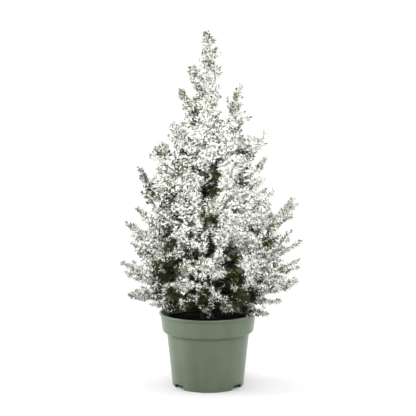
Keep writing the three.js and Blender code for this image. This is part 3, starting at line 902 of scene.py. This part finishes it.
def exposure(points):
    """The share of spray that reaches each point: the weighted mean over the directions of exp(-needles
    passed)."""
    total = np.zeros(len(points))
    strides = np.array([shape[1] * shape[2], shape[2], 1])
    ways = spray_ways()
    for x, y, z, share in ways:
        passed = np.zeros(len(points), dtype=np.float32)
        for k in range(1, int(SPRAY["reach"] / SPRAY["step"])):
            spot = (points + np.array([x, y, z]) * (k * SPRAY["step"] + SPRAY["start"]) - low) / VOXEL
            inside = ((spot >= 0) & (spot < shape)).all(axis=1)
            index = np.where(inside, spot.astype(np.int64) @ strides, 0)
            passed += np.where(inside, blocking[index], 0) * SPRAY["step"]
        total += share * np.exp(-passed)
    return total / ways[:, 3].sum()


def coating(shown, shoot_shown):
    """The chance that each needle is coated. Its own exposure and its shoot's, with a little more on needles
    that point up, on the right (painted light: that side made whiter) and far out, give a share c between the
    exposures none and full, and the chance is c (2 - c). It is less on needles that face the trunk, on the
    left (painted shade), low down near the middle (painted shade under the crown), on fingers that reach far
    out, in the front's ovals (partly bare green, partly painted shade), and in patches near the top that the
    spray missed."""
    x, y, z = middle.T
    far_out = np.abs(x)
    amount = (SNOW["own"] * shown + SNOW["shoot"] * shoot_shown[owner]
              + rng.normal(0, SNOW["spread"], len(shoots))[owner] + SNOW["upward"] * way[:, 2])
    # Painted light: more snow on the right, so that side looks lit whiter.
    amount += (SNOW["right_more"] * np.interp(x, SNOW["right"], (0, 1))
               + SNOW["outer_more"] * np.interp(far_out, SNOW["outer"], (0, 1)))
    none, full = (np.interp(z, SNOW["heights"], SNOW[end]) for end in ("none", "full"))
    coated = np.clip((amount - none) / (full - none), 0, 1)
    coated = coated * (2 - coated) * np.interp(shown, *SNOW["most"])
    outward = unit(unit(middle * [1, 1, 0]) + 0.5 * UP)
    coated *= np.interp(np.sum(way * outward, axis=1), *SNOW["facing"])
    # Painted shade: less snow on the left, and low down near the middle under the crown.
    low_less = np.where(S_MASS[owner] > BETWEEN, *SNOW["low_less"])
    coated *= (np.interp(x, *SNOW["left"])
               * (1 - low_less * np.interp(z, *SNOW["low"]) * np.interp(far_out, *SNOW["low_middle"])))
    # The ovals change neither the back nor the fillers and sprigs that stand well in front of the trunk.
    front = ((S_MASS[owner] != BETWEEN) | (y > SNOW["forward"])) & (y < SNOW["back"] * far_out)
    # The ovals' bareness: partly bare green needles, partly painted shade in the hollows and grey patches.
    bareness = np.max([np.interp(depth_within(middle, ovals), *SNOW[look])
                       for ovals, look in ((GREENS, "green"), (HOLLOWS, "green"), (GREYS, "grey"))], axis=0)
    coated *= 1 - np.where(front, bareness, 0)
    coated *= np.where(S_MASS[owner] == FINGER, np.interp(far_out, *SNOW["finger"]), 1)
    missed = np.interp(value_noise(middle, SNOW["missed_size"], 21), *SNOW["missed"])
    return coated * (1 - missed * np.interp(z, *SNOW["missed_from"]))


# Kinds of needle, and the materials of their foot half and their tip half.
KINDS = {"snow": ("snow", "snow"), "tipped": ("green", "snow"), "thin": ("thin", "thin"),
         "green": ("green", "green"), "fresh": ("fresh", "fresh")}
SNOWY, TIPPED, THIN, GREEN, FRESH = range(5)


def kinds(shown, coated):
    """The kind of each needle: white to the foot, white at the tip, thinly coated, bare, or fresh and bare.
    Some white ones that are shown best become thinly coated and grey, partly thinner snow at the tips and
    partly painted shade that holds the brightest needles down, and fresh ones stand at some shoots' tips."""
    height = middle[:, 2]
    draw = rng.uniform(0, 1, len(owner))
    whole = coated * np.interp(height, *SNOW["whole"]) * (0.8 + 0.4 * way[:, 2])
    limits = [draw < whole, draw < coated * SNOW["white"], draw < coated]
    kind = np.select(limits, [SNOWY, TIPPED, THIN], GREEN)
    # Painted shade, in part: the best shown white needles turn grey.
    fringe = np.interp(shown, *SNOW["thin"]) * np.interp(height, *SNOW["thin_top"])
    kind = np.where((kind < THIN) & (rng.uniform(0, 1, len(owner)) < fringe), THIN, kind)
    young = (rng.uniform(0, 1, len(shoots)) < np.interp(SP2[:, 2], *SNOW["fresh"]))[owner] & (near_tip > 0)
    return np.where(young & (rng.uniform(0, 1, len(owner)) < 0.5), FRESH, kind)


shown = exposure(middle)
shoot_shown = np.bincount(owner, shown, len(shoots)) / count
kind = kinds(shown, coating(shown, shoot_shown))
visible = above & (shown > SNOW["hidden"])


def spindles(foot, way, size, width, belly):
    """Closed three-sided needles: from a point at the foot to three corners at the belly and on to a point
    at the tip."""
    across, over = square_to(way)
    spin = rng.uniform(0, 2 * math.pi, len(foot))
    corners = [foot]
    for k in range(3):
        a = (spin + k * 2 * math.pi / 3)[:, None]
        spoke = np.cos(a) * across + np.sin(a) * over
        corners.append(foot + way * (size * belly)[:, None] + spoke * width[:, None])
    corners.append(foot + way * size[:, None])
    faces = np.array([[0, 2, 1], [0, 3, 2], [0, 1, 3], [4, 1, 2], [4, 2, 3], [4, 3, 1]])
    faces = faces[None] + (np.arange(len(foot)) * 5)[:, None, None]
    return np.stack(corners, axis=1).reshape(-1, 3), faces.reshape(-1, 3)


BANDS = {"low": ("skirt", "lower"), "middle": ("middle",), "high": ("upper",), "top": ("crown", "leader")}
splits = [0, *(np.quantile(middle[visible, 2], q) for q in (0.25, 0.5, 0.75)), math.inf]
for (band, tiers), bottom, top in zip(BANDS.items(), splits, splits[1:]):
    nodes = [m.name for m in MASSES if any(tier in m.name for tier in tiers)]
    for k, (name, halves) in enumerate(KINDS.items()):
        chosen = np.flatnonzero(visible & (kind == k) & (middle[:, 2] >= bottom) & (middle[:, 2] < top))
        if not len(chosen):
            continue
        width = NEEDLE["width"][name] / 2 * rng.uniform(*NEEDLE["widths"], len(chosen))
        corners, faces = spindles(foot[chosen], way[chosen], size[chosen], width, NEEDLE["belly"])
        sides = np.tile([0, 0, 0, 1, 1, 1], len(chosen)) if halves[0] != halves[1] else None
        paints = [MATERIALS[half] for half in dict.fromkeys(halves)]
        keep(add_mesh(f"needles_{name}_{band}", corners, faces, paints, sides), "foliage", *nodes)

# ---- buds ----

BUD = {"length": 4.2 * MM, "radius": 1.3 * MM, "shown": 0.1, "chance": 0.5}

chosen = rng.uniform(0, 1, len(shoots)) < BUD["chance"]
budded = np.flatnonzero((S_ORDER <= 1) & (shoot_shown > BUD["shown"]) & chosen)
tip_way = bezier_heading(SP0[budded], SP1[budded], SP2[budded], np.ones(len(budded)))
corners, faces = spindles(SP2[budded] - tip_way * 1 * MM, tip_way, np.full(len(budded), BUD["length"]),
                          np.full(len(budded), BUD["radius"]), 0.5)
keep(add_mesh("buds", corners, faces, [MATERIALS["bud"]]), "bark")

# ---- twigs ----

TWIG = {"radius": (1.5 * MM, 0.8 * MM, 0.6 * MM, 0.5 * MM), "coat": 1.8, "taper": (1.1, 0.7),
        "coated": ((0.4, 0.52), (0.35, 0.8)), "coated_stems": 0.42}  # by height; stems only above this

seen = np.bincount(owner[visible], minlength=len(shoots)) > 0
rings = np.linspace(0, 1, 4)
grid = np.broadcast_to(rings, (int(seen.sum()), len(rings)))
curve = [a[seen][:, None] for a in (SP0, SP1, SP2)]
centres = bezier(*curve, grid)
across, over = square_to(bezier_heading(*curve, grid))
height = SP2[seen, 2]
snowy = rng.uniform(0, 1, int(seen.sum())) < np.interp(height, *TWIG["coated"])
snowy &= (shoot_shown > SNOW["twigs"])[seen]
# No coat on twigs in the hollows, so the painted shade there stays dark.
snowy &= (S_ORDER[seen] > np.where(height > TWIG["coated_stems"], 0, 1)) & ~within(SP1[seen], HOLLOWS)
girth = np.array(TWIG["radius"])[S_ORDER[seen]] * np.where(snowy, TWIG["coat"], 1.0)
taper = TWIG["taper"][0] - TWIG["taper"][1] * rings
corners, faces = tubes(centres, across, over, girth[:, None] * taper[None], 3)
coated = np.repeat(snowy, len(faces) // len(girth))
keep(add_mesh("twigs", corners, faces, [MATERIALS["bark"], MATERIALS["snow"]], coated), "bark")

# ---- trunk and boughs ----

TRUNK = {"rings": 220, "sides": 48, "relief": 0.09}
BOUGH = {"rings": 24, "sides": 12, "radius": 3.3, "taper": 1.4, "relief": 0.12}  # radii in millimetres


def spokes(sides):
    """The cosines and sines of a ring's corners."""
    angle = np.arange(sides) * 2 * math.pi / sides
    return np.cos(angle), np.sin(angle)


def trunk_bark():
    """The trunk's rings, each corner moved in or out by scaly noise of 3.2 and 1.3 mm, drawn out along the
    trunk."""
    rings, sides = TRUNK["rings"], TRUNK["sides"]
    line, radius = trunk_at(np.linspace(trunk_rows[0, 2], trunk_rows[-1, 2], rings))
    cos, sin = spokes(sides)
    rim = line[:, None] + radius[:, None, None] * np.stack([cos, sin, 0 * cos], -1)[None]
    relief = (value_noise(rim.reshape(-1, 3) * [1, 1, 0.5], 3.2 * MM, 1) * 0.5
              + value_noise(rim.reshape(-1, 3), 1.3 * MM, 2) * 0.25)
    wall = radius[None, :, None] * (1 + TRUNK["relief"] * relief.reshape(1, rings, sides))
    axis_x, axis_y = (np.broadcast_to(axis, (1, rings, 3)) for axis in ([1.0, 0, 0], [0, 1.0, 0]))
    corners, faces = tubes(line[None], axis_x, axis_y, wall, sides)
    keep(add_mesh("trunk_bark", corners, faces, [MATERIALS["bark"]], smooth=True), "bark", "trunk")


def bough_bark():
    """A bough from the trunk out to each mass's foot, tapering, with scaly noise of 2.2 mm on it."""
    rings, sides = BOUGH["rings"], BOUGH["sides"]
    feet = np.array([mass.stem[0] for mass in MASSES])
    roots = np.array([trunk_at(foot[2:3] - 0.25 * np.linalg.norm(foot[:2]))[0][0] for foot in feet])
    curve = [ends[:, None] for ends in (roots, (roots + feet) / 2, feet)]
    steps = np.broadcast_to(np.linspace(0, 1, rings), (len(feet), rings))
    centres = bezier(*curve, steps)
    across, over = square_to(bezier_heading(*curve, steps))
    cos, sin = (part[:, None] for part in spokes(sides))
    rim = centres[:, :, None] + 3 * MM * across[:, :, None] * cos + 3 * MM * over[:, :, None] * sin
    relief = value_noise(rim.reshape(-1, 3), 2.2 * MM, 3).reshape(len(feet), rings, sides)
    radii = (BOUGH["radius"] - BOUGH["taper"] * steps[..., None]) * MM * (1 + BOUGH["relief"] * relief)
    corners, faces = tubes(centres, across, over, radii, sides)
    bough_names = [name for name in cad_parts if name.startswith("bough_")]
    keep(add_mesh("bough_bark", corners, faces, [MATERIALS["bark"]], smooth=True), "bark", *bough_names)


trunk_bark()
bough_bark()

# ---- camera, floor and light ----

LENS = 90.6  # millimetres
LOOKS_DOWN = 5.6  # degrees
FLOOR = 1.0  # half its width

camera = bpy.data.objects.new("camera", bpy.data.cameras.new("camera"))
camera.data.lens = LENS
camera.data.clip_end = 100
camera.location = EYE.tolist()
camera.rotation_euler = (math.radians(90 - LOOKS_DOWN), 0, 0)
bpy.context.scene.collection.objects.link(camera)
bpy.context.scene.camera = camera

floor_material, _, _ = new_material("white studio floor", Roughness=0.9, Base_Color=linear("#c2c2c2"))
floor = add_mesh("floor", [(-FLOOR, -FLOOR, 0), (FLOOR, -FLOOR, 0), (FLOOR, FLOOR, 0), (-FLOOR, FLOOR, 0)],
                 [[0, 1, 2, 3]], [floor_material])


ROOM = {"front": 0.05, "sides": 1.15, "overhead": 0.7, "ceiling": (0, 0.45, 0.89), "seen": 1.1}


def white_studio():
    """A white room: brightest overhead and at the sides and back, dim towards the camera. Its walls are
    plain white where they are seen."""
    world = bpy.data.worlds.new("white_studio")
    world.use_nodes = True
    bpy.context.scene.world = world
    tree = world.node_tree
    light, out = tree.nodes["Background"], tree.nodes["World Output"]
    place = add_node(tree, "ShaderNodeTexCoord")
    split = add_node(tree, "ShaderNodeSeparateXYZ", links={"Vector": place.outputs["Generated"]})
    sides = {"From Min": -0.98, "From Max": -0.5, "To Min": ROOM["front"], "To Max": ROOM["sides"]}
    round_about = add_node(tree, "ShaderNodeMapRange", {"interpolation_type": "SMOOTHSTEP"}, sides,
                           {"Value": split.outputs["Y"]})
    tilted = add_node(tree, "ShaderNodeVectorMath", {"operation": "DOT_PRODUCT"}, {1: ROOM["ceiling"]},
                      {0: place.outputs["Generated"]})
    overhead = add_node(tree, "ShaderNodeMapRange", {"interpolation_type": "SMOOTHSTEP"},
                        {"From Min": 0.3, "From Max": 0.85, "To Min": 0.0, "To Max": ROOM["overhead"]},
                        {"Value": tilted.outputs["Value"]})
    total = add_node(tree, "ShaderNodeMath", {"operation": "ADD"}, links={0: round_about.outputs["Result"],
                                                                         1: overhead.outputs["Result"]})
    tree.links.new(total.outputs["Value"], light.inputs["Strength"])
    seen = add_node(tree, "ShaderNodeBackground", values={"Strength": ROOM["seen"]})
    ray = add_node(tree, "ShaderNodeLightPath")
    mixed = add_node(tree, "ShaderNodeMixShader",
                     links={0: ray.outputs["Is Camera Ray"], 1: light.outputs["Background"],
                            2: seen.outputs["Background"]})
    for node in (light, seen):
        node.inputs["Color"].default_value = (1, 1, 1, 1)
    tree.links.new(mixed.outputs["Shader"], out.inputs["Surface"])


def area_light(name, place, target, size, power, spread=180):
    """A soft square light at a place, turned to a target. A grid on it keeps its beam to spread degrees."""
    lamp = bpy.data.lights.new(name, "AREA")
    lamp.size, lamp.energy, lamp.spread = size, power, math.radians(spread)
    holder = bpy.data.objects.new(name, lamp)
    holder.location = place
    holder.rotation_euler = (Vector(target) - Vector(place)).to_track_quat("-Z", "Y").to_euler()
    bpy.context.scene.collection.objects.link(holder)


white_studio()
area_light("softbox_left", (-1.7, 0.1, 0.9), (0, 0, 0.35), 1.2, 34)
area_light("softbox_front", (0, -0.95, 2.3), (0, 0, 0.42), 1.2, 8)
area_light("gridded_softbox", (-0.3, -2.2, 1.5), (0, 0, 0.42), 0.3, 1.68, 20)
area_light("softbox_right", (1.7, 0.1, 0.9), (0, 0, 0.35), 1.2, 24)

bpy.context.scene.view_settings.view_transform = "Standard"
